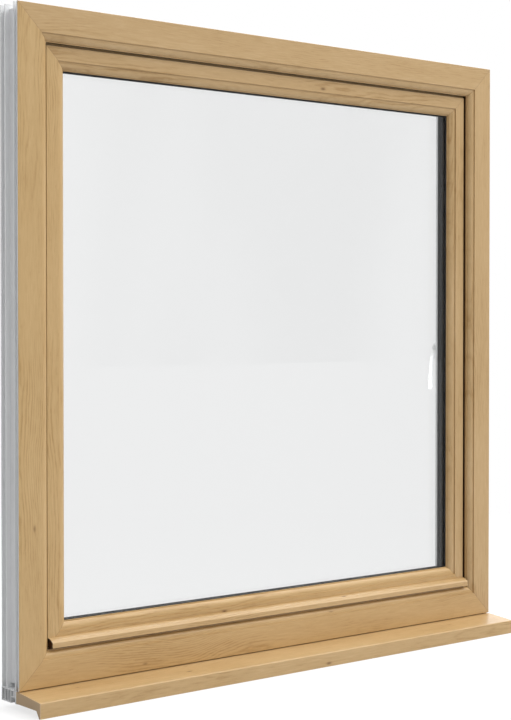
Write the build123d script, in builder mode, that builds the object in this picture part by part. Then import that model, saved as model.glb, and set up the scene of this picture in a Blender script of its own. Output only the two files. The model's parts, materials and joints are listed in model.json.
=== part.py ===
from build123d import *
from math import tan, radians
import os

os.makedirs("parts", exist_ok=True)

# Tilt and turn window: a square frame with an inward opening sash, a sealed glass unit,
# a cill on a base profile, and the fittings on its inner side.
# All sizes are in millimetres. X runs along the width, Y from outside to inside, Z up.
# The origin lies on the underside of the base profile, in the middle of its width.

# Overall sizes
frame_width = 1400.0
frame_height = 1400.0
frame_depth = 70.0
base_height = 28.0

# Frame section, measured inwards from the frame's outer edge and back from its face
frame_sight = 74.0
frame_moulding = 17.0
frame_leg = 24.0
frame_leg_depth = 22.0
rib_height = 10.0
face_wall = 3.0
thin_rib_place = 14.5
thin_rib = 2.0
clip_rib_place = 48.0
clip_rib = 4.0
rear_wall = 4.0
edge_round = 1.2

# Moulding shared by frame and sash: a quirk, a convex ovolo and a flat ledge
quirk_depth = 2.6
quirk_width = 0.8
ovolo_drop = 10.0
ledge_drop = 2.0
ledge_width = 2.4

# Chambers inside the frame and sash profiles
outer_wall = 3.0
web = 2.0
outer_chamber = 7.0
steel_chamber = 26.0
leg_chamber = 6.5
sash_front_chamber = 9.0
fitting_groove = 16.0
fitting_groove_depth = 3.0

# Sash section
sash_gap = 5.3
sash_setback = 18.0
sash_face = 28.5
sash_step = 9.0
hardware_gap = 12.0
flange_gap = 6.0
flange_thickness = 13.0
flange_overlap = 4.0
flange_round = 4.0
sash_moulding = 18.8
glazing_leg_depth = 15.2
glazing_floor = 21.0

# Glass unit
pane = 4.0
cavity = 20.0
gasket = 3.8
edge_clearance = 4.0
spacer_height = 18.0
gasket_show = 1.5
bead_slope_width = 20.0
bead_bulge = 2.8
bead_lip = 3.0
bead_gasket = 3.0
seal_clearance = 2.4
lip_round = 1.2

# Drip bar on the foot of the sash
drip_projection = 18.5
drip_face = 10.5
drip_top_rise = 8.5
drip_bulge = 2.0
drip_drop = 1.2
drip_groove = 1.6
drip_groove_place = 13.0

# Cill
cill_projection = 80.0
cill_slope = 5.0
cill_drop = 2.0
cill_tuck = 12.0
cill_rear_height = 24.0
cill_leg = 8.0
cill_nose = 32.0
cill_nose_depth = 14.0
cill_nose_tip = 3.5
cill_wall = 2.5
cill_webs = 3
nose_round = 2.5
cap_thickness = 2.0
upstand = 2.5
upstand_rise = 6.0
upstand_place = 7.5

# Base profile
base_wall = 2.5
base_chambers = 4
base_step = 12.0
clip_foot = 2.5
clip_foot_rise = 6.0
clip_clearance = 0.3

# Handle
handle_inset = 79.0
handle_below_middle = 16.5
rosette_width = 31.0
rosette_length = 68.0
rosette_thickness = 11.0
rosette_corner = 9.0
rosette_round = 3.0
spindle_radius = 8.0
hub_radius = 14.5
hub_depth = 20.0
hub_round = 5.0
neck_out = 24.0
neck_drop = 28.0
neck_width = 15.0
neck_thickness = 11.0
neck_share = 0.2
bend_radius = 34.0
waist_width = 12.0
waist_thickness = 9.0
waist_share = 0.42
grip_lean = 4.0
grip_length = 108.0
grip_width = 14.4
grip_thickness = 10.0
grip_share = 0.75
tip_round = 3.5
running_gap = 0.3

# Hinge fittings on the inner side: knuckles on an upright axis beside the sash flange
knuckle_radius = 7.0
knuckle_gap = 3.0
bearing_height = 44.0
strap_height = 36.0
plate_width = 26.0
plate_thickness = 3.0
leaf_width = 24.0
cover_thickness = 10.0
cover_rim = 2.0
fitting_round = 2.0

# Places worked out from the sizes above
front_y = -frame_depth / 2
inner_y = frame_depth / 2
mid_height = base_height + frame_height / 2
frame_face = frame_sight - frame_moulding
frame_rebate = frame_sight - frame_leg
ledge_depth = ovolo_drop + ledge_drop
sash_edge = frame_sight + sash_gap
sash_ovolo = sash_edge + sash_face
sash_sight = sash_ovolo + sash_moulding
sash_body = frame_rebate + hardware_gap
flange_edge = frame_rebate - flange_overlap
flange_back = frame_depth + flange_gap
sash_back = flange_back + flange_thickness
floor_edge = sash_sight - glazing_floor - gasket_show
glass_edge = floor_edge + edge_clearance
bead_edge = floor_edge + bead_slope_width
gasket_front = sash_setback + glazing_leg_depth
pane_front = gasket_front + gasket
spacer_front = pane_front + pane
spacer_back = spacer_front + cavity
pane_back = spacer_back + pane
bead_front = pane_back + bead_gasket

# One plane for each side: its X axis points inwards from the frame's outer edge,
# its Y axis back from the frame's face
edge_planes = {
    "head": Plane(origin=(0, front_y, base_height + frame_height), x_dir=(0, 0, -1), z_dir=(1, 0, 0)),
    "foot": Plane(origin=(0, front_y, base_height), x_dir=(0, 0, 1), z_dir=(-1, 0, 0)),
    "left": Plane(origin=(-frame_width / 2, front_y, mid_height), x_dir=(1, 0, 0), z_dir=(0, 0, 1)),
    "right": Plane(origin=(frame_width / 2, front_y, mid_height), x_dir=(-1, 0, 0), z_dir=(0, 0, -1)),
}
run_lengths = {"head": frame_width, "foot": frame_width, "left": frame_height, "right": frame_height}
frame_names = {"head": "head", "foot": "foot", "left": "jamb_left", "right": "jamb_right"}
sash_names = {"head": "top_rail", "foot": "bottom_rail", "left": "stile_left", "right": "stile_right"}


def save(piece, node):
    piece.part.label = node
    export_step(piece.part, f"parts/{node}.step")


# The two planes that cut a member at 45 degrees through the frame's outer corners
def mitre_planes(side):
    plane = edge_planes[side]
    cuts = []
    for way in (1, -1):
        along = plane.z_dir * way
        corner = plane.origin + along * (run_lengths[side] / 2)
        cuts.append(Plane(origin=corner, z_dir=along + plane.x_dir))
    return cuts


# A run of the given section along one side, mitred at both ends
def mitred_run(side, section):
    with BuildPart() as member:
        with BuildSketch(edge_planes[side]):
            add(section.sketch)
        extrude(amount=run_lengths[side] / 2, both=True)
        for cut in mitre_planes(side):
            split(bisect_by=cut, keep=Keep.BOTTOM)
    return member.part


def mitred_member(side, section, node):
    with BuildPart() as member:
        add(mitred_run(side, section))
    save(member, node)


# Frame section: face, quirk, ovolo, ledge, leg, rebate, and clip ribs round the perimeter
with BuildSketch() as frame_section:
    with BuildLine():
        face_line = Polyline(
            (rib_height, 0),
            (frame_face, 0),
            (frame_face, quirk_depth),
            (frame_face + quirk_width, quirk_depth),
        )
        ovolo = TangentArc(face_line @ 1, (frame_sight - ledge_width, ovolo_drop), tangent=(1, 0))
        Polyline(
            ovolo @ 1,
            (frame_sight - ledge_width, ledge_depth),
            (frame_sight, ledge_depth),
            (frame_sight, frame_leg_depth),
            (frame_rebate, frame_leg_depth),
            (frame_rebate, frame_depth),
            (rib_height, frame_depth),
            (rib_height, 0),
        )
    make_face()
    ribs = (
        (0, face_wall),
        (thin_rib_place, thin_rib),
        (clip_rib_place, clip_rib),
        (frame_depth - rear_wall, rear_wall),
    )
    for rib_place, rib_width in ribs:
        with Locations((0, rib_place)):
            Rectangle(rib_height, rib_width, align=(Align.MIN, Align.MIN))
    outer_corners = frame_section.vertices().group_by(Axis.X)[0].sort_by(Axis.Y)
    fillet([outer_corners[0], outer_corners[-1]], edge_round)

    # Chambers from front to back, the second of them for the steel, and one in the leg
    steel_start = outer_wall + outer_chamber + web
    rear_start = steel_start + steel_chamber + web
    rear_chamber = (frame_depth - outer_wall - rear_start - web) / 2
    chambers = (
        (outer_wall, outer_chamber),
        (steel_start, steel_chamber),
        (rear_start, rear_chamber),
        (rear_start + rear_chamber + web, rear_chamber),
    )
    chamber_width = frame_rebate - rib_height - 2 * outer_wall
    for chamber_start, chamber_depth in chambers:
        with Locations((rib_height + outer_wall, chamber_start)):
            Rectangle(chamber_width, chamber_depth, align=(Align.MIN, Align.MIN), mode=Mode.SUBTRACT)
    with Locations((frame_rebate, frame_leg_depth - outer_wall)):
        leg_width = frame_sight - outer_wall - frame_rebate
        Rectangle(leg_width, leg_chamber, align=(Align.MIN, Align.MAX), mode=Mode.SUBTRACT)

for side, name in frame_names.items():
    mitred_member(side, frame_section, f"frame_{name}")

# Sash section: the same moulding, a step behind the frame's leg, a glazing rebate
# and a flange that overlaps the frame on the inner side
with BuildSketch() as sash_section:
    with BuildLine():
        face_line = Polyline(
            (sash_edge, sash_setback + sash_step),
            (sash_edge, sash_setback),
            (sash_ovolo, sash_setback),
            (sash_ovolo, sash_setback + quirk_depth),
            (sash_ovolo + quirk_width, sash_setback + quirk_depth),
        )
        ovolo_end = (sash_sight - ledge_width, sash_setback + ovolo_drop)
        ovolo = TangentArc(face_line @ 1, ovolo_end, tangent=(1, 0))
        Polyline(
            ovolo @ 1,
            (sash_sight - ledge_width, sash_setback + ledge_depth),
            (sash_sight, sash_setback + ledge_depth),
            (sash_sight, gasket_front),
            (floor_edge, gasket_front),
            (floor_edge, sash_back),
            (flange_edge, sash_back),
            (flange_edge, flange_back),
            (sash_body, flange_back),
            (sash_body, sash_setback + sash_step),
            (sash_edge, sash_setback + sash_step),
        )
    make_face()
    flange_corner = sash_section.vertices().sort_by(Axis.Y)[-2:].sort_by(Axis.X)[0]
    fillet(flange_corner, flange_round)
    with Locations((sash_body, flange_back - outer_wall)):
        Rectangle(fitting_groove_depth, fitting_groove, align=(Align.MIN, Align.MAX), mode=Mode.SUBTRACT)
    with Locations((sash_edge + outer_wall, sash_setback + outer_wall)):
        front_width = sash_face - 2 * outer_wall
        Rectangle(front_width, sash_front_chamber, align=(Align.MIN, Align.MIN), mode=Mode.SUBTRACT)
    first_chamber = sash_setback + outer_wall + sash_front_chamber + web
    sash_chamber = (sash_back - outer_wall - first_chamber - web) / 2
    groove_floor = sash_body + fitting_groove_depth
    chamber_width = floor_edge - groove_floor - 2 * outer_wall
    for chamber_start in (first_chamber, first_chamber + sash_chamber + web):
        with Locations((groove_floor + outer_wall, chamber_start)):
            Rectangle(chamber_width, sash_chamber, align=(Align.MIN, Align.MIN), mode=Mode.SUBTRACT)

for side, name in sash_names.items():
    mitred_member(side, sash_section, f"sash_{name}")

# Glazing bead: seated on the rebate floor, with a rounded slope towards the glass
with BuildSketch() as bead_section:
    with BuildLine():
        seat = Polyline(
            (floor_edge + bead_lip, sash_back),
            (floor_edge, sash_back),
            (floor_edge, bead_front),
            (bead_edge, bead_front),
            (bead_edge, bead_front + bead_lip),
        )
        SagittaArc(seat @ 1, seat @ 0, -bead_bulge)
    make_face()

for side in edge_planes:
    mitred_member(side, bead_section, f"glazing_bead_{side}")


# A flat ring round the window between two insets, from a front depth to a back depth
def ring(node, outer_inset, inner_inset, front, back):
    ring_plane = Plane(origin=(0, front_y + back, mid_height), x_dir=(1, 0, 0), z_dir=(0, -1, 0))
    with BuildPart() as piece:
        with BuildSketch(ring_plane):
            Rectangle(frame_width - 2 * outer_inset, frame_height - 2 * outer_inset)
            if inner_inset is not None:
                inner_width = frame_width - 2 * inner_inset
                inner_height = frame_height - 2 * inner_inset
                Rectangle(inner_width, inner_height, mode=Mode.SUBTRACT)
        extrude(amount=back - front)
    save(piece, node)


# Glass unit: two panes and the spacer between them
ring("outer_pane", glass_edge, None, pane_front, spacer_front)
ring("inner_pane", glass_edge, None, spacer_back, pane_back)
ring("glass_spacer", glass_edge, glass_edge + spacer_height, spacer_front, spacer_back)


# A rubber strip all round, from one inset to another, with its inner edge rounded like a lip
def lip_strip(node, outer_inset, inner_inset, front, back):
    with BuildSketch() as strip_section:
        with Locations((outer_inset, front)):
            Rectangle(inner_inset - outer_inset, back - front, align=(Align.MIN, Align.MIN))
        fillet(strip_section.vertices().group_by(Axis.X)[-1], lip_round)
    with BuildPart() as strip:
        for side in edge_planes:
            add(mitred_run(side, strip_section))
    save(strip, node)


gasket_edge = glass_edge + edge_clearance
seal_edge = sash_body + seal_clearance
step_back = sash_setback + sash_step
lip_strip("outer_glazing_gasket", gasket_edge, sash_sight + gasket_show, gasket_front, pane_front)
lip_strip("inner_glazing_gasket", gasket_edge, bead_edge + gasket_show, pane_back, bead_front)
lip_strip("frame_seal", seal_edge, frame_sight - gasket_show, frame_leg_depth, step_back)
lip_strip("sash_seal", flange_edge + gasket_show, frame_rebate, frame_depth, flange_back)

# Drip bar: a weather moulding on the face of the bottom rail, with a groove under it
drip_under = sash_edge - drip_drop
drip_top = drip_under + drip_face
with BuildPart() as drip_bar:
    with BuildSketch(edge_planes["foot"]):
        with BuildLine():
            under = Polyline(
                (drip_under, sash_setback),
                (drip_under, sash_setback - drip_projection),
                (drip_top, sash_setback - drip_projection),
            )
            slope_end = (drip_top + drip_top_rise, sash_setback)
            slope = SagittaArc(under @ 1, slope_end, -drip_bulge)
            Line(slope @ 1, under @ 0)
        make_face()
        with Locations((drip_under, sash_setback - drip_groove_place)):
            Circle(drip_groove, mode=Mode.SUBTRACT)
    extrude(amount=frame_width / 2 - sash_edge, both=True)
save(drip_bar, "drip_bar")

# Cill plane: its X axis points outwards from the frame's face, its Y axis up from the frame's foot
cill_plane = Plane(origin=(0, front_y, base_height), x_dir=(0, -1, 0), z_dir=(-1, 0, 0))
nose_top = -cill_drop - cill_projection * tan(radians(cill_slope))
cill_under = -cill_drop - cill_rear_height

with BuildSketch() as cill_outline:
    with BuildLine():
        Polyline(
            (-cill_tuck, -cill_drop),
            (0, -cill_drop),
            (cill_projection, nose_top),
            (cill_projection, nose_top - cill_nose),
            (cill_projection - cill_nose_tip, nose_top - cill_nose),
            (cill_projection - cill_nose_depth, cill_under),
            (-cill_tuck, cill_under),
            (-cill_tuck, -cill_drop),
        )
    make_face()
    nose_corners = cill_outline.vertices().sort_by(Axis.X)[-2:].sort_by(Axis.Y)
    fillet(nose_corners[-1], nose_round)

# The chambers are the outline less its wall, with upright webs left standing between them
with BuildSketch() as cill_chambers:
    add(cill_outline.sketch)
    offset(amount=-cill_wall, mode=Mode.REPLACE)
    web_pitch = (cill_projection - cill_nose_depth + cill_tuck) / (cill_webs + 1)
    for index in range(cill_webs + 1):
        with Locations((-cill_tuck + (index + 1) * web_pitch, nose_top)):
            Rectangle(web, 2 * cill_nose, mode=Mode.SUBTRACT)

with BuildPart() as cill:
    with BuildSketch(cill_plane):
        add(cill_outline.sketch)
        add(cill_chambers.sketch, mode=Mode.SUBTRACT)
        with Locations((-upstand_place, -cill_drop)):
            Rectangle(upstand, cill_drop + upstand_rise, align=(Align.CENTER, Align.MIN))
        with Locations((-cill_tuck, -cill_drop)):
            Rectangle(cill_leg, base_height - cill_drop, align=Align.MAX)
    extrude(amount=frame_width / 2 - cap_thickness, both=True)
save(cill, "cill")

for way, name in ((-1, "left"), (1, "right")):
    cap_plane = Plane(
        origin=(way * (frame_width / 2), front_y, base_height), x_dir=(0, -1, 0), z_dir=(-1, 0, 0)
    )
    with BuildPart() as cill_cap:
        with BuildSketch(cap_plane):
            add(cill_outline.sketch)
        extrude(amount=way * cap_thickness)
    save(cill_cap, f"cill_end_cap_{name}")

# Base profile: a hollow bearer under the frame, open at its ends, stepped up behind the cill's leg,
# with two clip feet that stand between the frame's ribs
base_front = front_y + cill_tuck + cill_leg
base_length = inner_y - base_front
base_chamber = (base_length - base_wall * (base_chambers + 1)) / base_chambers
base_chamber_height = base_height - 2 * base_wall
step_width = base_wall + base_chamber
base_plane = Plane(origin=(0, base_front, 0), x_dir=(0, 1, 0), z_dir=(1, 0, 0))
with BuildPart() as base_profile:
    with BuildSketch(base_plane):
        Rectangle(base_length, base_height, align=(Align.MIN, Align.MIN))
        for index in range(base_chambers):
            with Locations((base_wall + index * step_width, base_wall)):
                corner = (Align.MIN, Align.MIN)
                Rectangle(base_chamber, base_chamber_height, align=corner, mode=Mode.SUBTRACT)
        Rectangle(step_width, base_step + base_wall, align=(Align.MIN, Align.MIN))
        Rectangle(step_width, base_step, align=(Align.MIN, Align.MIN), mode=Mode.SUBTRACT)
        rear_foot = front_y + clip_rib_place - clip_clearance - clip_foot - base_front
        for foot_place in (0, rear_foot):
            with Locations((foot_place, base_height)):
                Rectangle(clip_foot, clip_foot_rise, align=(Align.MIN, Align.MIN))
    extrude(amount=frame_width / 2, both=True)
save(base_profile, "base_profile")

# Handle rosette on the inner face of the right stile, with the bore that guides the lever
handle_x = frame_width / 2 - handle_inset
handle_z = mid_height - handle_below_middle
stile_y = front_y + sash_back
rosette_plane = Plane(origin=(handle_x, stile_y, handle_z), x_dir=(-1, 0, 0), z_dir=(0, 1, 0))
with BuildPart() as rosette:
    with BuildSketch(rosette_plane):
        RectangleRounded(rosette_width, rosette_length, rosette_corner)
    extrude(amount=rosette_thickness)
    fillet(rosette.faces().sort_by(Axis.Y)[-1].edges(), rosette_round)
    with BuildSketch(rosette_plane):
        Circle(spindle_radius + running_gap)
    extrude(amount=rosette_thickness, mode=Mode.SUBTRACT)
save(rosette, "handle_rosette")

# Lever: a round hub on the spindle, and a grip that springs from it at a slant, narrows
# at the bend and hangs down when the sash is locked
hub_plane = rosette_plane.offset(rosette_thickness + running_gap)
lever_plane = Plane(origin=hub_plane.origin + (0, hub_depth / 2, 0), x_dir=(0, 1, 0), z_dir=(1, 0, 0))
with BuildLine(lever_plane) as lever_line:
    FilletPolyline(
        (0, 0),
        (neck_out, -neck_drop),
        (neck_out + grip_lean, -grip_length),
        radius=bend_radius,
    )
grip_path = lever_line.wires()[0]
# Share of the path, width and thickness at each station
grip_stations = (
    (0, neck_width, neck_thickness),
    (neck_share, neck_width, neck_thickness),
    (waist_share, waist_width, waist_thickness),
    (grip_share, grip_width, grip_thickness),
    (1, grip_width, grip_thickness),
)
with BuildPart() as lever:
    with BuildSketch(rosette_plane.offset(running_gap)):
        Circle(spindle_radius)
    extrude(amount=rosette_thickness)
    with BuildSketch(hub_plane):
        Circle(hub_radius)
    extrude(amount=hub_depth)
    fillet(lever.faces().sort_by(Axis.Y)[-1].edges(), hub_round)
    for share, width, thickness in grip_stations:
        with BuildSketch(Plane(origin=grip_path @ share, x_dir=(1, 0, 0), z_dir=grip_path % share)):
            Ellipse(width / 2, thickness / 2)
    sweep(path=grip_path, multisection=True)
    fillet(lever.faces().sort_by(Axis.Z)[0].edges(), tip_round)
save(lever, "handle_lever")

# Hinge fittings beside the left stile: on each level a bearing on the frame, a strap on the sash
# that shares its upright axis, and a cover over the strap's leaf
knuckle_x = -frame_width / 2 + flange_edge - knuckle_gap - knuckle_radius
knuckle_y = stile_y + plate_thickness - knuckle_radius
leaf_end = -frame_width / 2 + flange_edge + leaf_width


def bearing(node, bottom):
    with BuildPart() as piece:
        with BuildSketch(Plane.XY.offset(bottom)):
            with Locations((knuckle_x, knuckle_y)):
                Circle(knuckle_radius)
            with Locations((knuckle_x, inner_y)):
                Rectangle(knuckle_radius, knuckle_y - inner_y, align=(Align.CENTER, Align.MIN))
            with Locations((knuckle_x + knuckle_radius, inner_y)):
                Rectangle(plate_width, plate_thickness, align=(Align.MAX, Align.MIN))
        extrude(amount=bearing_height)
    save(piece, node)


def strap(node, bottom):
    with BuildPart() as piece:
        with BuildSketch(Plane.XY.offset(bottom)):
            with Locations((knuckle_x, knuckle_y)):
                Circle(knuckle_radius)
            with Locations((knuckle_x, stile_y)):
                Rectangle(leaf_end - knuckle_x, plate_thickness, align=(Align.MIN, Align.MIN))
        extrude(amount=strap_height)
    save(piece, node)


# A cap over the strap's leaf, hollowed to take it and standing on the sash all round
def cover(node, bottom):
    cover_width = leaf_end + cover_rim - knuckle_x - knuckle_radius - running_gap
    leaf_room = cover_width - cover_rim + running_gap
    with BuildPart() as piece:
        with BuildSketch(Plane.XY.offset(bottom - cover_rim)):
            with Locations((leaf_end + cover_rim, stile_y)):
                Rectangle(cover_width, cover_thickness, align=(Align.MAX, Align.MIN))
        extrude(amount=strap_height + 2 * cover_rim)
        fillet(piece.faces().sort_by(Axis.Y)[-1].edges(), fitting_round)
        with BuildSketch(Plane.XY.offset(bottom - running_gap)):
            with Locations((leaf_end + running_gap, stile_y)):
                Rectangle(leaf_room, plate_thickness, align=(Align.MAX, Align.MIN))
        extrude(amount=strap_height + 2 * running_gap, mode=Mode.SUBTRACT)
    save(piece, node)


lower_bottom = base_height + flange_edge
upper_top = base_height + frame_height - flange_edge
lower_strap_bottom = lower_bottom + bearing_height + running_gap
upper_strap_bottom = upper_top - bearing_height - running_gap - strap_height
bearing("lower_hinge_bearing", lower_bottom)
strap("lower_hinge_strap", lower_strap_bottom)
cover("lower_hinge_cover", lower_strap_bottom)
bearing("upper_stay_bearing", upper_top - bearing_height)
strap("upper_stay_strap", upper_strap_bottom)
cover("upper_stay_cover", upper_strap_bottom)
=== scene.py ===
import bpy
import bmesh
import json
from math import cos, pi, radians, sin
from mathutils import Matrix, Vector


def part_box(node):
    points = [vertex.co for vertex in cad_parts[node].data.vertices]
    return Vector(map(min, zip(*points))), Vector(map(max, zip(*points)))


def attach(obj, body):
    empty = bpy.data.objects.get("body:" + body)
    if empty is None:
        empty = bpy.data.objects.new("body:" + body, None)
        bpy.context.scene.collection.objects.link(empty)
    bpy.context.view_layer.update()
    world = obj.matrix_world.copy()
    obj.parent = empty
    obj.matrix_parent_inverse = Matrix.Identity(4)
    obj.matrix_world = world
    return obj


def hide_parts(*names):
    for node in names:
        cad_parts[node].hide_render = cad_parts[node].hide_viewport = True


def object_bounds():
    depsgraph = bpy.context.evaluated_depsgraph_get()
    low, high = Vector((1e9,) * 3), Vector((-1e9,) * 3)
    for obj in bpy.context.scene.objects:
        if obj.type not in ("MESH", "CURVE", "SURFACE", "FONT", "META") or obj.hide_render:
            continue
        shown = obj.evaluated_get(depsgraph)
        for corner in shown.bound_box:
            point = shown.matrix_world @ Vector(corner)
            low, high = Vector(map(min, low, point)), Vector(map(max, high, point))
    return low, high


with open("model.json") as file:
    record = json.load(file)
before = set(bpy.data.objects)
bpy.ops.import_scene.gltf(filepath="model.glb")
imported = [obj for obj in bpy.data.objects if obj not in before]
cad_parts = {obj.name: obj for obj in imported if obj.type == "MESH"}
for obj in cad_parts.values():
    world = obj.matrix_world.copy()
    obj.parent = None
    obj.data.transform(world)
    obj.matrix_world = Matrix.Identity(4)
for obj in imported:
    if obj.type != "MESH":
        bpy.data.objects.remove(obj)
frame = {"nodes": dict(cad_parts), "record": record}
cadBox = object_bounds()
nodes = frame["nodes"]
print("frame loaded,", len(nodes), "nodes")

# Where the frame stands, in metres, read from its own members
frameLow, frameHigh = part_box("frame_jamb_left")
frameLeft = frameLow.x
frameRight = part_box("frame_jamb_right")[1].x
frameFace = frameLow.y
frameFoot = frameLow.z
frameTop = frameHigh.z
halfWidth = (frameRight - frameLeft) / 2
halfHeight = (frameTop - frameFoot) / 2
midHeight = (frameTop + frameFoot) / 2


# A colour as it is seen on a screen, 0 to 255, in Blender's linear values
def screenColour(red, green, blue):
    def linear(value):
        value /= 255
        return value / 12.92 if value <= 0.04045 else ((value + 0.055) / 1.055) ** 2.4
    return (linear(red), linear(green), linear(blue), 1)


# Adds a node and fills its inputs, with a link where the value is another node's output
def addNode(tree, kind, inputs=None, **settings):
    node = tree.nodes.new(kind)
    for key, value in settings.items():
        setattr(node, key, value)
    for key, value in (inputs or {}).items():
        if isinstance(value, bpy.types.NodeSocket):
            tree.links.new(value, node.inputs[key])
        else:
            node.inputs[key].default_value = value
    return node


def calc(tree, operation, first, second=0.0, third=0.0):
    node = addNode(tree, "ShaderNodeMath", {0: first, 1: second, 2: third}, operation=operation)
    return node.outputs[0]


# Goes from 0 to 1 as the value goes from low to high
def ramp(tree, value, low, high):
    node = addNode(tree, "ShaderNodeMapRange", {"Value": value, "From Min": low, "From Max": high},
                   interpolation_type="SMOOTHSTEP")
    return node.outputs["Result"]


def blend(tree, factor, first, second):
    node = addNode(tree, "ShaderNodeMix", {"Factor": factor}, data_type="RGBA")
    for socket, value in ((6, first), (7, second)):
        if isinstance(value, bpy.types.NodeSocket):
            tree.links.new(value, node.inputs[socket])
        else:
            node.inputs[socket].default_value = value
    return node.outputs[2]


def noise(tree, vector, scale=1.0, detail=2.0, roughness=0.5):
    return addNode(tree, "ShaderNodeTexNoise", {
        "Vector": vector, "Scale": scale, "Detail": detail, "Roughness": roughness}).outputs["Fac"]


def newMaterial(name):
    material = bpy.data.materials.new(name)
    material.use_nodes = True
    tree = material.node_tree
    tree.nodes.clear()
    surface = addNode(tree, "ShaderNodeBsdfPrincipled")
    output = addNode(tree, "ShaderNodeOutputMaterial")
    tree.links.new(surface.outputs[0], output.inputs["Surface"])
    return material, tree, surface


# Shows another shader where newMaterial had linked the plain surface
def showInstead(tree, shader):
    output = next(node for node in tree.nodes if node.type == "OUTPUT_MATERIAL")
    tree.links.new(shader, output.inputs["Surface"])


def dress(node, material):
    nodes[node].data.materials.clear()
    nodes[node].data.materials.append(material)


# How deep the foil reaches behind the frame's face, from what depth the frame's rebate is painted dark brown
# as shade, how high the ribs round the perimeter stand, how far the foil wraps the outer edges, and how wide
# a band at each end of the drip bar is painted dark brown as shadow
foilReach = {
    "frame": 0.0222,
    "rebate": 0.0165,
    "sash": 0.0345,
    "cill": 0.0105,
    "ribs": 0.0102,
    "edgeWrap": 0.0006,
    "footWrap": 0.008,
    "paintedEndShade": 0.0004,
}

# Light oak foil: growth rings of a log sawn flat, fine fibres and pores along the grain, and pin knots.
# It wraps the outer face and the moulding, and past its reach the white core shows. A dark brown is painted
# in as shade deep in the frame's rebate and on the drip bar's cut ends.
# A pattern is how often it repeats in a metre along and across the grain, and how far it is shifted.
oakFoil = {
    "light": (208, 177, 131),
    "middle": (196, 163, 114),
    "dark": (172, 136, 84),
    "knot": (104, 70, 34),
    "core": (236, 237, 238),
    "coreJoint": (150, 150, 152),
    # painted shade: the dark brown of the gap between frame and sash, and of the drip bar's cut ends, as
    # they look in shadow
    "rebate": (56, 31, 11),
    "driftPattern": (1.7, 0.0, 2.3),
    "pithPattern": (1.7, 0.0, 7.9),
    "ripplePattern": (12.0, 55.0, 4.4),
    "fadePattern": (2.2, 9.0, 11.7),
    "fibrePattern": (26.0, 300.0, 0.0),
    "fleckPattern": (62.0, 420.0, 13.3),
    "porePattern": (60.0, 1500.0, 5.0),
    "cloudPattern": (3.6, 22.0, 9.1),
    "knotPattern": (11.0, 26.0, 8.2),
    "seedAcross": 1.7,
    "seedDeep": 0.6,
    "ringSpacing": 0.0044,
    "ringSharpness": 2.0,
    "ringStrength": 0.23,
    "ringRipple": 1.8,
    "ringRepeat": 0.06,
    "pithNear": 0.008,
    "pithFar": 0.045,
    "wander": 0.15,
    "fadeSpan": (0.38, 0.64),
    "fibreStrength": 0.6,
    "fleckSpan": (0.6, 0.74),
    "fleckStrength": 0.08,
    "poreSpan": (0.66, 0.8),
    "poreStrength": 0.2,
    "cloudStrength": 0.45,
    "darkSpan": (0.1, 0.5),
    "lightSpan": (0.45, 0.8),
    "knotSize": 0.13,
    "knotHalo": 1.7,
    "knotShare": 0.76,
    "knotDark": 0.9,
    "haloDark": 0.3,
    "roughness": 0.4,
    "gloss": 0.5,
    "coat": 0.3,
    "coatRoughness": 0.22,
    "fibreHeight": 0.6,
    "poreHeight": -2.0,
    "bumpDepth": 0.0003,
    "bumpStrength": 0.5,
    "jointWidth": 0.0007,
    "jointDark": 0.65,
    "coreJointShare": 0.5,
    # how soft the edge of the painted shade in the rebate is
    "rebateBlur": 0.0008,
}


# How far a point lies from the 45 degree line where two members meet
def offMitre(tree, x, z):
    fromMiddle = calc(tree, "ABSOLUTE", calc(tree, "SUBTRACT", z, midHeight))
    fromSides = calc(tree, "SUBTRACT", halfWidth, calc(tree, "ABSOLUTE", x))
    fromEnds = calc(tree, "SUBTRACT", halfHeight, fromMiddle)
    return calc(tree, "ABSOLUTE", calc(tree, "SUBTRACT", fromSides, fromEnds))


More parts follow.
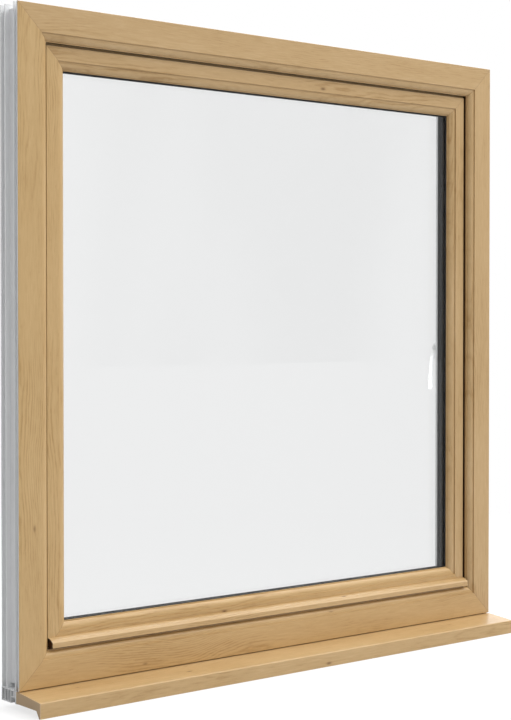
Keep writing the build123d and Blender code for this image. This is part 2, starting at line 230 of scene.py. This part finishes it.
def oakMaterial(name, run, seed, foilDepth, ribLine=None, wrap=foilReach["edgeWrap"], mitred=True,
                shade=(1, 1, 1), rebateDepth=None, paintedEndShade=None):
    values = oakFoil
    material, tree, surface = newMaterial(name)
    place = addNode(tree, "ShaderNodeTexCoord").outputs["Object"]
    x, y, z = addNode(tree, "ShaderNodeSeparateXYZ", {0: place}).outputs
    along, across = (x, z) if run == "X" else (z, x)
    around = calc(tree, "ADD", across, y)

    def stretched(pattern):
        alongScale, acrossScale, shift = values[pattern]
        return addNode(tree, "ShaderNodeCombineXYZ", {
            0: calc(tree, "MULTIPLY_ADD", along, alongScale, seed + shift),
            1: calc(tree, "MULTIPLY_ADD", around, acrossScale, seed * values["seedAcross"]),
            2: seed * values["seedDeep"],
        }).outputs[0]

    # Growth rings: the distance from a pith that wanders along the board, now deep and now near
    drift = noise(tree, stretched("driftPattern"), detail=2.0)
    depth = noise(tree, stretched("pithPattern"), detail=1.0)
    repeat = values["ringRepeat"]
    side = calc(tree, "MULTIPLY_ADD", calc(tree, "SUBTRACT", drift, 0.5), values["wander"],
                calc(tree, "WRAP", around, -repeat, repeat))
    pith = calc(tree, "MULTIPLY_ADD", depth, values["pithFar"] - values["pithNear"], values["pithNear"])
    radius = calc(tree, "SQRT", calc(tree, "ADD", calc(tree, "MULTIPLY", side, side),
                                     calc(tree, "MULTIPLY", pith, pith)))
    ripple = noise(tree, stretched("ripplePattern"), detail=3.0)
    radius = calc(tree, "MULTIPLY_ADD", ripple, values["ringSpacing"] * values["ringRipple"], radius)
    wave = calc(tree, "SINE", calc(tree, "MULTIPLY", radius, 2 * pi / values["ringSpacing"]))
    rings = calc(tree, "POWER", calc(tree, "MULTIPLY_ADD", wave, 0.5, 0.5), values["ringSharpness"])
    fade = ramp(tree, noise(tree, stretched("fadePattern")), *values["fadeSpan"])
    rings = calc(tree, "MULTIPLY", calc(tree, "MULTIPLY", rings, fade), values["ringStrength"])

    fibres = noise(tree, stretched("fibrePattern"), detail=4.0, roughness=0.6)
    flecks = noise(tree, stretched("fleckPattern"), detail=1.0)
    pores = noise(tree, stretched("porePattern"), detail=1.0)
    clouds = noise(tree, stretched("cloudPattern"), detail=3.0)
    fleck = calc(tree, "MULTIPLY", ramp(tree, flecks, *values["fleckSpan"]), values["fleckStrength"])
    pore = calc(tree, "MULTIPLY", ramp(tree, pores, *values["poreSpan"]), values["poreStrength"])
    tone = calc(tree, "MULTIPLY_ADD", calc(tree, "SUBTRACT", fibres, 0.5), values["fibreStrength"], 0.5)
    tone = calc(tree, "MULTIPLY_ADD", calc(tree, "SUBTRACT", clouds, 0.5), values["cloudStrength"], tone)
    tone = calc(tree, "SUBTRACT", tone, rings)
    tone = calc(tree, "SUBTRACT", tone, calc(tree, "ADD", pore, fleck))
    wood = blend(tree, ramp(tree, tone, *values["darkSpan"]), screenColour(*values["dark"]),
                 screenColour(*values["middle"]))
    wood = blend(tree, ramp(tree, tone, *values["lightSpan"]), wood, screenColour(*values["light"]))

    # Pin knots: a few of the cells have one, with a darker halo round it
    spots = addNode(tree, "ShaderNodeTexVoronoi", {"Vector": stretched("knotPattern"), "Scale": 1.0})
    picked = addNode(tree, "ShaderNodeSeparateColor", {0: spots.outputs["Color"]}).outputs[0]
    chosen = calc(tree, "GREATER_THAN", picked, values["knotShare"])
    away = spots.outputs["Distance"]
    knot = calc(tree, "SUBTRACT", 1.0, ramp(tree, away, 0.0, values["knotSize"]))
    halo = calc(tree, "SUBTRACT", 1.0, ramp(tree, away, 0.0, values["knotSize"] * values["knotHalo"]))
    halo = calc(tree, "MULTIPLY", halo, calc(tree, "MULTIPLY", chosen, values["haloDark"]))
    wood = blend(tree, halo, wood, screenColour(*values["dark"]))
    knot = calc(tree, "MULTIPLY", calc(tree, "MULTIPLY", knot, chosen), values["knotDark"])
    wood = blend(tree, knot, wood, screenColour(*values["knot"]))
    wood = addNode(tree, "ShaderNodeVectorMath", {0: wood, 1: shade}, operation="MULTIPLY").outputs[0]

    height = calc(tree, "MULTIPLY_ADD", fibres, values["fibreHeight"],
                  calc(tree, "MULTIPLY", pore, values["poreHeight"]))
    core = screenColour(*values["core"])
    if mitred:
        joint = calc(tree, "SUBTRACT", 1.0, ramp(tree, offMitre(tree, x, z), 0.0, values["jointWidth"]))
        seam = calc(tree, "MULTIPLY", joint, values["jointDark"])
        wood = blend(tree, seam, wood, screenColour(*values["knot"]))
        core = blend(tree, calc(tree, "MULTIPLY", seam, values["coreJointShare"]), core,
                     screenColour(*values["coreJoint"]))
        height = calc(tree, "SUBTRACT", height, joint)
    # Painted shade: past a given depth the frame's rebate is painted dark brown, standing in for the shade
    # in the gap between frame and sash
    if rebateDepth is not None:
        blur = values["rebateBlur"]
        wood = blend(tree, ramp(tree, y, rebateDepth - blur, rebateDepth + blur), wood,
                     screenColour(*values["rebate"]))
    # Painted shadow: the drip bar's cut ends, which lie in shade, are painted the same dark brown
    if paintedEndShade is not None:
        end = calc(tree, "GREATER_THAN", calc(tree, "ABSOLUTE", x), paintedEndShade)
        wood = blend(tree, end, wood, screenColour(*values["rebate"]))

    inFoil = calc(tree, "LESS_THAN", y, foilDepth)
    if ribLine is not None:
        axis, way, limit = ribLine
        outside = calc(tree, "MULTIPLY", calc(tree, "SUBTRACT", x if axis == "X" else z, limit), way)
        onFace = calc(tree, "LESS_THAN", y, frameFace + wrap)
        inside = calc(tree, "LESS_THAN", outside, 0.0)
        inFoil = calc(tree, "MULTIPLY", inFoil, calc(tree, "MAXIMUM", onFace, inside))
    tree.links.new(blend(tree, inFoil, core, wood), surface.inputs["Base Color"])
    surface.inputs["Roughness"].default_value = values["roughness"]
    surface.inputs["Specular IOR Level"].default_value = values["gloss"]
    surface.inputs["Coat Weight"].default_value = values["coat"]
    surface.inputs["Coat Roughness"].default_value = values["coatRoughness"]
    bump = addNode(tree, "ShaderNodeBump", {
        "Height": calc(tree, "MULTIPLY", height, inFoil),
        "Distance": values["bumpDepth"],
        "Strength": values["bumpStrength"],
    })
    tree.links.new(bump.outputs[0], surface.inputs["Normal"])
    return material


# The four sides: their nodes, the way their grain runs, where each texture starts for frame and sash,
# a slight difference in shade from board to board, and the line past which the ribs are white
members = {
    "head": {
        "frame": "frame_head", "sash": "sash_top_rail", "run": "X", "seeds": (1.3, 40.1),
        "shade": (0.94, 0.94, 0.96), "ribs": ("Z", 1, frameTop - foilReach["ribs"])},
    "foot": {
        "frame": "frame_foot", "sash": "sash_bottom_rail", "run": "X", "seeds": (9.0, 45.4),
        "shade": (0.98, 0.95, 0.86), "ribs": ("Z", -1, frameFoot + foilReach["ribs"])},
    "left": {
        "frame": "frame_jamb_left", "sash": "sash_stile_left", "run": "Z", "seeds": (16.7, 50.7),
        "shade": (1.0, 1.0, 0.96), "ribs": ("X", -1, frameLeft + foilReach["ribs"])},
    "right": {
        "frame": "frame_jamb_right", "sash": "sash_stile_right", "run": "Z", "seeds": (24.4, 56.0),
        "shade": (0.95, 0.95, 0.97), "ribs": ("X", 1, frameRight - foilReach["ribs"])},
}
trimSeeds = {"drip_bar": 71.4, "cill": 88.9}

for side, member in members.items():
    frameSeed, sashSeed = member["seeds"]
    wrap = foilReach["footWrap"] if side == "foot" else foilReach["edgeWrap"]
    # Each frame member gets painted shade in its rebate past the given depth
    dress(member["frame"], oakMaterial(
        "oakFrame_" + side, member["run"], frameSeed, frameFace + foilReach["frame"], member["ribs"], wrap,
        shade=member["shade"], rebateDepth=frameFace + foilReach["rebate"]))
    dress(member["sash"], oakMaterial(
        "oakSash_" + side, member["run"], sashSeed, frameFace + foilReach["sash"], shade=member["shade"]))
# The drip bar gets painted shadow on its cut ends
dress("drip_bar", oakMaterial(
    "oakDripBar", "X", trimSeeds["drip_bar"], frameFace + foilReach["sash"], mitred=False,
    paintedEndShade=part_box("drip_bar")[1].x - foilReach["paintedEndShade"]))
dress("cill", oakMaterial("oakCill", "X", trimSeeds["cill"], frameFace + foilReach["cill"], mitred=False))
print("oak foil done")


# Plain finishes with a little unevenness in tone and surface
plainFinishes = {
    "white_upvc": {
        "colour": (232, 233, 234), "roughness": 0.38, "tone": 0.04, "grain": 160, "bump": 0.00016},
    "white_enamel": {
        "colour": (247, 248, 249), "roughness": 0.28, "tone": 0.02, "grain": 500, "bump": 0.00016},
    "black_gasket": {
        "colour": (24, 22, 20), "roughness": 0.55, "tone": 0.2, "grain": 400, "bump": 0.00032},
    "black_spacer": {
        "colour": (20, 20, 20), "roughness": 0.8, "tone": 0.16, "grain": 300, "bump": 0.00024},
    "oak_cap": {
        "colour": (196, 168, 132), "roughness": 0.5, "tone": 0.12, "grain": 120, "bump": 0.00032},
}
plainSurface = {"patches": 6.0, "bumpStrength": 0.3}


def plainMaterial(name):
    values = plainFinishes[name]
    material, tree, surface = newMaterial(name)
    place = addNode(tree, "ShaderNodeTexCoord").outputs["Object"]
    colour = screenColour(*values["colour"])
    darker = tuple(channel * (1 - values["tone"]) for channel in colour[:3]) + (1,)
    patches = noise(tree, place, scale=plainSurface["patches"])
    tree.links.new(blend(tree, patches, darker, colour), surface.inputs["Base Color"])
    surface.inputs["Roughness"].default_value = values["roughness"]
    pits = noise(tree, place, scale=values["grain"], detail=3.0)
    bump = addNode(tree, "ShaderNodeBump", {
        "Height": pits, "Distance": values["bump"], "Strength": plainSurface["bumpStrength"]})
    tree.links.new(bump.outputs[0], surface.inputs["Normal"])
    return material


finishes = {name: plainMaterial(name) for name in plainFinishes}
slots = {part["node"]: part["material_slot"] for part in frame["record"]["subparts"]}
for node, slot in slots.items():
    if slot in finishes:
        dress(node, finishes[slot])


# Float glass that lets lamps through
glassValues = {"tint": (0.954, 0.957, 0.958, 1), "shadow": (0.985, 0.99, 0.988, 1), "bend": 1.5}


def glassMaterial():
    material, tree, surface = newMaterial("clear_glass")
    surface.inputs["Base Color"].default_value = glassValues["tint"]
    surface.inputs["Transmission Weight"].default_value = 1.0
    surface.inputs["IOR"].default_value = glassValues["bend"]
    surface.inputs["Roughness"].default_value = 0.0
    rays = addNode(tree, "ShaderNodeLightPath")
    lampRay = calc(tree, "MAXIMUM", rays.outputs["Is Shadow Ray"], rays.outputs["Is Diffuse Ray"])
    clear = addNode(tree, "ShaderNodeBsdfTransparent", {"Color": glassValues["shadow"]})
    mix = addNode(tree, "ShaderNodeMixShader", {0: lampRay, 1: surface.outputs[0], 2: clear.outputs[0]})
    showInstead(tree, mix.outputs[0])
    return material


glass = glassMaterial()
dress("outer_pane", glass)
dress("inner_pane", glass)
print("finishes done")


# Geometry Nodes: a tree with named inputs, each known by its label
def newShapeTree(name, inputs):
    tree = bpy.data.node_groups.new(name, "GeometryNodeTree")
    tree.interface.new_socket(name="Geometry", in_out="OUTPUT", socket_type="NodeSocketGeometry")
    sockets = {}
    for label, kind in inputs.items():
        socket = tree.interface.new_socket(name=label, in_out="INPUT", socket_type=kind)
        sockets[label] = socket.identifier
    entry = tree.nodes.new("NodeGroupInput")
    return tree, sockets, entry.outputs


# Every tree ends the same way: instances made real, and the finish set
def closeTree(tree, geometry, material):
    real = addNode(tree, "GeometryNodeRealizeInstances", {"Geometry": geometry})
    finish = addNode(tree, "GeometryNodeSetMaterial", {"Geometry": real.outputs[0], "Material": material})
    end = tree.nodes.new("NodeGroupOutput")
    tree.links.new(finish.outputs[0], end.inputs[0])


# Carries a section's outline along a path. Each point of the result still knows its place in the
# outline and the place of its corner in the path, so that a tree can set it where it belongs.
def sweepSection(tree, sectionSocket, pathCurve):
    section = addNode(tree, "GeometryNodeObjectInfo", {"Object": sectionSocket})
    profile = addNode(tree, "GeometryNodeCaptureAttribute", {"Geometry": section.outputs["Geometry"]})
    path = addNode(tree, "GeometryNodeCaptureAttribute", {"Geometry": pathCurve})
    here = addNode(tree, "GeometryNodeInputPosition").outputs[0]
    for capture in (profile, path):
        capture.capture_items.new("VECTOR", "place")
        tree.links.new(here, capture.inputs["place"])
    swept = addNode(tree, "GeometryNodeCurveToMesh", {
        "Curve": path.outputs[0], "Profile Curve": profile.outputs[0]})
    inOutline = addNode(tree, "ShaderNodeSeparateXYZ", {0: profile.outputs["place"]}).outputs
    inPath = addNode(tree, "ShaderNodeSeparateXYZ", {0: path.outputs["place"]}).outputs
    return swept.outputs[0], inOutline, inPath


def setPlaces(tree, geometry, x, y, z):
    place = addNode(tree, "ShaderNodeCombineXYZ", {0: x, 1: y, 2: z}).outputs[0]
    return addNode(tree, "GeometryNodeSetPosition", {"Geometry": geometry, "Position": place}).outputs[0]


meshCare = {"weld": 1e-7, "softAngle": 40}


# Runs a tree with its values on an empty object, and keeps the result as a plain mesh
def grow(name, shape, values, body, replaced=()):
    tree, sockets = shape
    holder = bpy.data.objects.new(name + "Holder", bpy.data.meshes.new(name + "Holder"))
    bpy.context.scene.collection.objects.link(holder)
    modifier = holder.modifiers.new("shape", "NODES")
    modifier.node_group = tree
    for label, value in values.items():
        modifier[sockets[label]] = value
    depsgraph = bpy.context.evaluated_depsgraph_get()
    mesh = bpy.data.meshes.new_from_object(holder.evaluated_get(depsgraph), depsgraph=depsgraph)
    holder.modifiers.remove(modifier)
    bpy.data.objects.remove(holder)
    shell = bmesh.new()
    shell.from_mesh(mesh)
    bmesh.ops.remove_doubles(shell, verts=shell.verts, dist=meshCare["weld"])
    bmesh.ops.recalc_face_normals(shell, faces=shell.faces)
    shell.to_mesh(mesh)
    shell.free()
    for face in mesh.polygons:
        face.use_smooth = True
    mesh.set_sharp_from_angle(angle=radians(meshCare["softAngle"]))
    piece = bpy.data.objects.new(name, mesh)
    bpy.context.scene.collection.objects.link(piece)
    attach(piece, body)
    for node in replaced:
        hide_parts(node)
    return piece


# An outline as a curve object that a tree can read
def outline(name, points, closed=True):
    curve = bpy.data.curves.new(name, "CURVE")
    curve.dimensions = "2D"
    curve.fill_mode = "NONE"
    spline = curve.splines.new("POLY")
    spline.points.add(len(points) - 1)
    for point, (across, up) in zip(spline.points, points):
        point.co = (across, up, 0, 1)
    spline.use_cyclic_u = closed
    profile = bpy.data.objects.new(name, curve)
    bpy.context.scene.collection.objects.link(profile)
    return profile


# A section carried round the window with true mitres: each point of the outline keeps its inset
# and its depth, and the corner that it belongs to gives its side
def mitredRingTree():
    tree, sockets, entry = newShapeTree("mitredRing", {
        "Section": "NodeSocketObject", "Half width": "NodeSocketFloat", "Half height": "NodeSocketFloat",
        "Middle height": "NodeSocketFloat", "Finish": "NodeSocketMaterial"})
    corners = addNode(tree, "GeometryNodeCurvePrimitiveQuadrilateral", {"Width": 2.0, "Height": 2.0})
    swept, inOutline, inPath = sweepSection(tree, entry["Section"], corners.outputs[0])
    inset, depth, _ = inOutline
    cornerX, cornerZ, _ = inPath
    x = calc(tree, "MULTIPLY", cornerX, calc(tree, "SUBTRACT", entry["Half width"], inset))
    z = calc(tree, "MULTIPLY_ADD", cornerZ, calc(tree, "SUBTRACT", entry["Half height"], inset),
             entry["Middle height"])
    closeTree(tree, setPlaces(tree, swept, x, depth, z), entry["Finish"])
    return tree, sockets


mitredRing = mitredRingTree()


# Part of a circle as points, from one angle to another, both in degrees
def arc(inset, depth, radius, start, end, steps=8):
    angles = [radians(start + (end - start) * step / steps) for step in range(steps + 1)]
    return [(inset + radius * cos(angle), depth + radius * sin(angle)) for angle in angles]


def ringPiece(name, points, slot, node):
    profile = outline(name + "Section", points)
    values = {"Section": profile, "Half width": halfWidth, "Half height": halfHeight,
              "Middle height": midHeight, "Finish": finishes[slot]}
    piece = grow(name, mitredRing, values, "window", [node])
    bpy.data.objects.remove(profile)
    return piece


# Where a ring node lies: the inset of its outer edge, and the depth of its front and its back
def ringReach(node):
    low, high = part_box(node)
    return low.x - frameLeft, low.y, high.y


# Rubber: where each strip's visible lip ends, from the frame's outer edge, and how round it is
rubber = {
    "outerInset": 0.1281,
    "beadInset": 0.1256,
    "frameSealInset": 0.0725,
    "sashSealInset": 0.0500,
    "bulb": 0.0011,
    "neck": 2.6,
    "groove": 0.0007,
    "fin": 0.0009,
    "heel": 0.6,
}


# A glazing gasket: a body behind the edge, a rounded lip that shows, and a groove that parts the two
def glazingGasket(name, node, inner):
    outer, front, back = ringReach(node)
    bulb = min(rubber["bulb"], (back - front) / 2)
    neck = inner - rubber["neck"] * bulb
    groove = rubber["groove"]
    points = [(outer, front), (neck - groove, front), (neck, front + groove), (neck + groove, front)]
    points += arc(inner - bulb, front + bulb, bulb, -90, 0)
    points += arc(inner - bulb, back - bulb, bulb, 0, 90)
    points += [(outer, back)]
    return ringPiece(name, points, "black_gasket", node)


# A rebate seal: a foot, a hollow-looking bulb that the sash presses, and a thin fin at its inner edge
def rebateSeal(name, node, inner):
    outer, front, back = ringReach(node)
    bulb = (back - front) / 2
    fin = rubber["fin"]
    waist = (outer + inner) / 2
    points = [(outer, back - fin * 2), (outer, back), (waist, back), (waist + fin, back - fin)]
    points += arc(inner - bulb, front + bulb, bulb, 90, -90, 12)
    points += [(waist, front + bulb * rubber["heel"]), (waist - fin, back - fin * 2)]
    return ringPiece(name, points, "black_gasket", node)


# The spacer's visible side: two shoulders along the panes and a shallow channel between them
spacer = {"shoulder": 0.0032, "channel": 0.0009, "inset": 0.1261}


def spacerBar():
    outer, front, back = ringReach("glass_spacer")
    inner = spacer["inset"]
    shoulder = spacer["shoulder"]
    channel = spacer["channel"]
    points = [
        (outer, front), (inner - channel, front), (inner, front + channel), (inner, front + shoulder),
        (inner - channel, front + shoulder + channel), (inner - channel, back - shoulder - channel),
        (inner, back - shoulder), (inner, back - channel), (inner - channel, back), (outer, back)]
    return ringPiece("spacerBar", points, "black_spacer", "glass_spacer")


glazingGasket("outerGlazingGasket", "outer_glazing_gasket", rubber["outerInset"])
glazingGasket("innerGlazingGasket", "inner_glazing_gasket", rubber["beadInset"])
rebateSeal("frameSeal", "frame_seal", rubber["frameSealInset"])
rebateSeal("sashSeal", "sash_seal", rubber["sashSealInset"])
spacerBar()
print("rubber and spacer done")


# A turned piece at each given place: the section's x is the radius and its y the height above the seat
def turnedPartsTree():
    tree, sockets, entry = newShapeTree("turnedParts", {
        "Section": "NodeSocketObject", "Places": "NodeSocketObject", "Turn": "NodeSocketVector",
        "Sides": "NodeSocketInt", "Finish": "NodeSocketMaterial"})
    circle = addNode(tree, "GeometryNodeCurvePrimitiveCircle", {"Resolution": entry["Sides"], "Radius": 1.0})
    swept, inOutline, inPath = sweepSection(tree, entry["Section"], circle.outputs[0])
    radius, height, _ = inOutline
    wayX, wayY, _ = inPath
    x = calc(tree, "MULTIPLY", wayX, radius)
    y = calc(tree, "MULTIPLY", wayY, radius)
    places = addNode(tree, "GeometryNodeObjectInfo", {"Object": entry["Places"]})
    spread = addNode(tree, "GeometryNodeInstanceOnPoints", {
        "Points": places.outputs["Geometry"], "Instance": setPlaces(tree, swept, x, y, height),
        "Rotation": entry["Turn"]})
    closeTree(tree, spread.outputs[0], entry["Finish"])
    return tree, sockets


turnedParts = turnedPartsTree()

# Hinge trim: screws in the bearing plates and domed caps over the pins
hingeTrim = {
    "fromPlateEnd": 0.006,
    "fromPlateTop": 0.010,
    "plate": 0.003,
    "knuckle": 0.007,
    "sides": 24,
    "screw": [(0, 0.0005), (0.0012, 0.0005), (0.0014, 0.0013), (0.0023, 0.0011), (0.0029, 0.0005),
              (0.0030, -0.0003), (0, -0.0003)],
    "dome": [(0, 0.0032), (0.0022, 0.0029), (0.0041, 0.0020), (0.0052, 0.0008), (0.0055, -0.0002),
             (0, -0.0002)],
}


def turnedPiece(name, points, places, turn):
    section = outline(name + "Section", points, closed=False)
    seats = bpy.data.meshes.new(name + "Seats")
    seats.from_pydata(places, [], [])
    seatHolder = bpy.data.objects.new(name + "Seats", seats)
    bpy.context.scene.collection.objects.link(seatHolder)
    values = {"Section": section, "Places": seatHolder, "Turn": turn, "Sides": hingeTrim["sides"],
              "Finish": finishes["white_enamel"]}
    piece = grow(name, turnedParts, values, "window")
    bpy.data.objects.remove(section)
    bpy.data.objects.remove(seatHolder)
    return piece


def hingeScrews():
    places = []
    for node in ("lower_hinge_bearing", "upper_stay_bearing"):
        low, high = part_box(node)
        for level in (low.z + hingeTrim["fromPlateTop"], high.z - hingeTrim["fromPlateTop"]):
            places.append((low.x + hingeTrim["fromPlateEnd"], low.y + hingeTrim["plate"], level))
    return turnedPiece("hingeScrews", hingeTrim["screw"], places, (-pi / 2, 0, 0))


def pinCaps():
    strapLow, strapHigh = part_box("lower_hinge_strap")
    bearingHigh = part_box("upper_stay_bearing")[1]
    inward = strapHigh.y - hingeTrim["knuckle"]
    places = [(strapLow.x + hingeTrim["knuckle"], inward, strapHigh.z),
              (bearingHigh.x - hingeTrim["knuckle"], inward, bearingHigh.z)]
    return turnedPiece("pinCaps", hingeTrim["dome"], places, (0, 0, 0))


hingeScrews()
pinCaps()
print("hinge trim done")


# Studio: a pale floor that turns white further out, a soft sky that is brighter above and on the right,
# two soft lamps, one for each side of the window, and a small strip light behind the glass for the handle.
# What the glass mirrors is a little dimmer.
studio = {
    "floorSize": 40.0,
    "floorGap": 0.0006,
    "floorColour": (0.62, 0.62, 0.62, 1),
    "floorRoughness": 0.9,
    "floorNear": 0.55,
    "nearGlow": 1.34,
    "mirroredFloor": 0.56,
    "fadeSpan": (0.9, 3.0),
    "skyBase": 0.06,
    "skyUp": 1.55,
    "skyRight": 0.85,
    "skyFront": 0.1,
    "mirroredLow": 0.28,
    "mirroredHigh": 0.5,
    "mirroredBack": 1.6,
    "mirroredTop": 3.2,
    "bandsAcross": 16.0,
    "bandsUp": 2.6,
    "bandSpan": (0.3, 0.7),
    "backSpan": (0.0, 0.35),
    "topSpan": (0.3, 0.7),
    "lamps": {
        "softLamp": {"place": (2.4, -2.6, 4.4), "size": 3.0, "power": 108.0},
        "insideLamp": {"place": (1.6, 3.4, 2.6), "size": 2.4, "power": 44.0},
    },
    "handleLamp": {
        "place": (0.5, 0.023, 0.65), "aim": (0.61, 0.10, 0.65), "width": 0.01, "length": 0.13,
        "spread": 20.0, "power": 0.016},
}


# The first is 1 for rays that show the surroundings: straight to the camera, in gloss or through glass.
# The second is 1 only for those that were mirrored on their way.
def seenRays(tree):
    rays = addNode(tree, "ShaderNodeLightPath")
    seen = calc(tree, "MAXIMUM", rays.outputs["Is Camera Ray"], rays.outputs["Is Glossy Ray"])
    seen = calc(tree, "MAXIMUM", seen, rays.outputs["Is Transmission Ray"])
    return seen, calc(tree, "GREATER_THAN", rays.outputs["Glossy Depth"], 0.5)


def studioFloor():
    size = studio["floorSize"] / 2
    level = cadBox[0][2] - studio["floorGap"]
    corners = [(-size, -size, level), (size, -size, level), (size, size, level), (-size, size, level)]
    mesh = bpy.data.meshes.new("floor")
    mesh.from_pydata(corners, [], [(0, 1, 2, 3)])
    floor = bpy.data.objects.new("floor", mesh)
    bpy.context.scene.collection.objects.link(floor)
    material, tree, surface = newMaterial("floor")
    surface.inputs["Base Color"].default_value = studio["floorColour"]
    surface.inputs["Roughness"].default_value = studio["floorRoughness"]
    surface.inputs["Specular IOR Level"].default_value = 0.0

    # The share that glows white grows with the distance, and is full for what is seen through glass
    place = addNode(tree, "ShaderNodeTexCoord").outputs["Object"]
    distance = addNode(tree, "ShaderNodeVectorMath", {0: place}, operation="LENGTH").outputs["Value"]
    far = ramp(tree, distance, *studio["fadeSpan"])
    rays = addNode(tree, "ShaderNodeLightPath").outputs
    share = calc(tree, "MULTIPLY_ADD", far, 1 - studio["floorNear"], studio["floorNear"])
    share = calc(tree, "MAXIMUM", share, rays["Is Transmission Ray"])
    gain = calc(tree, "MULTIPLY", calc(tree, "SUBTRACT", 1.0, far), studio["nearGlow"] - 1)
    strength = calc(tree, "MULTIPLY_ADD", gain, rays["Is Camera Ray"], 1.0)
    seen, mirrored = seenRays(tree)
    dimmed = calc(tree, "MULTIPLY_ADD", mirrored, studio["mirroredFloor"] - 1, 1.0)
    glow = addNode(tree, "ShaderNodeEmission", {
        "Color": (1, 1, 1, 1), "Strength": calc(tree, "MULTIPLY", strength, dimmed)})
    mix = addNode(tree, "ShaderNodeMixShader", {
        0: calc(tree, "MULTIPLY", seen, share), 1: surface.outputs[0], 2: glow.outputs[0]})
    showInstead(tree, mix.outputs[0])
    mesh.materials.append(material)


def studioSky():
    world = bpy.data.worlds.new("studio")
    bpy.context.scene.world = world
    world.use_nodes = True
    tree = world.node_tree
    tree.nodes.clear()
    way = addNode(tree, "ShaderNodeTexCoord").outputs["Generated"]
    right, back, up = addNode(tree, "ShaderNodeSeparateXYZ", {0: way}).outputs
    strength = calc(tree, "MULTIPLY_ADD", up, studio["skyUp"], studio["skyBase"])
    strength = calc(tree, "MULTIPLY_ADD", right, studio["skyRight"], strength)
    strength = calc(tree, "MULTIPLY_ADD", back, -studio["skyFront"], strength)
    fill = addNode(tree, "ShaderNodeBackground", {
        "Color": (1, 1, 1, 1), "Strength": calc(tree, "MAXIMUM", strength, 0.0)})

    # What is mirrored has soft upright bands in front, and is brighter behind and above
    seen, mirrored = seenRays(tree)
    spread = addNode(tree, "ShaderNodeCombineXYZ", {
        0: calc(tree, "MULTIPLY", right, studio["bandsAcross"]),
        1: calc(tree, "MULTIPLY", up, studio["bandsUp"])}).outputs[0]
    bands = ramp(tree, noise(tree, spread, detail=1.0), *studio["bandSpan"])
    low = studio["mirroredLow"]
    dimmed = calc(tree, "MULTIPLY_ADD", bands, studio["mirroredHigh"] - low, low)
    dimmed = blend(tree, ramp(tree, back, *studio["backSpan"]), dimmed, (studio["mirroredBack"],) * 3 + (1,))
    dimmed = blend(tree, ramp(tree, up, *studio["topSpan"]), dimmed, (studio["mirroredTop"],) * 3 + (1,))
    shown = blend(tree, mirrored, (1, 1, 1, 1), dimmed)
    backdrop = addNode(tree, "ShaderNodeBackground", {"Color": shown, "Strength": 1.0})
    mix = addNode(tree, "ShaderNodeMixShader", {0: seen, 1: fill.outputs[0], 2: backdrop.outputs[0]})
    output = addNode(tree, "ShaderNodeOutputWorld")
    tree.links.new(mix.outputs[0], output.inputs["Surface"])


def hangLamp(light, place, aim):
    lamp = bpy.data.objects.new(light.name, light)
    bpy.context.scene.collection.objects.link(lamp)
    lamp.location = place
    lamp.rotation_euler = (Vector(aim) - lamp.location).to_track_quat("-Z", "Y").to_euler()
    lamp.visible_camera = False
    lamp.visible_glossy = False
    lamp.visible_transmission = False


def studioLamps():
    for name, values in studio["lamps"].items():
        light = bpy.data.lights.new(name, "AREA")
        light.energy = values["power"]
        light.size = values["size"]
        hangLamp(light, values["place"], (0, 0, midHeight))
    values = studio["handleLamp"]
    light = bpy.data.lights.new("handleLamp", "AREA")
    light.shape = "RECTANGLE"
    light.energy = values["power"]
    light.size = values["width"]
    light.size_y = values["length"]
    light.spread = radians(values["spread"])
    hangLamp(light, values["place"], values["aim"])


studioFloor()
studioSky()
studioLamps()

# Camera at the photo's angle: left of the window and a little above its middle
cameraView = {
    "leftOfFrame": 1.6692,
    "inFront": 2.7971,
    "belowTop": 0.6464,
    "turn": 39.30,
    "dip": 1.06,
    "lens": 79.65,
    "sensor": 36,
    "shiftY": -0.0133,
}


def makeCamera():
    data = bpy.data.cameras.new("camera")
    data.lens = cameraView["lens"]
    data.sensor_width = cameraView["sensor"]
    data.shift_y = cameraView["shiftY"]
    camera = bpy.data.objects.new("camera", data)
    bpy.context.scene.collection.objects.link(camera)
    camera.location = (frameLeft - cameraView["leftOfFrame"], frameFace - cameraView["inFront"],
                       frameTop - cameraView["belowTop"])
    camera.rotation_euler = (radians(90 - cameraView["dip"]), 0, radians(-cameraView["turn"]))
    bpy.context.scene.camera = camera


makeCamera()
bpy.context.scene.view_settings.view_transform = "Standard"
print("studio and camera done")
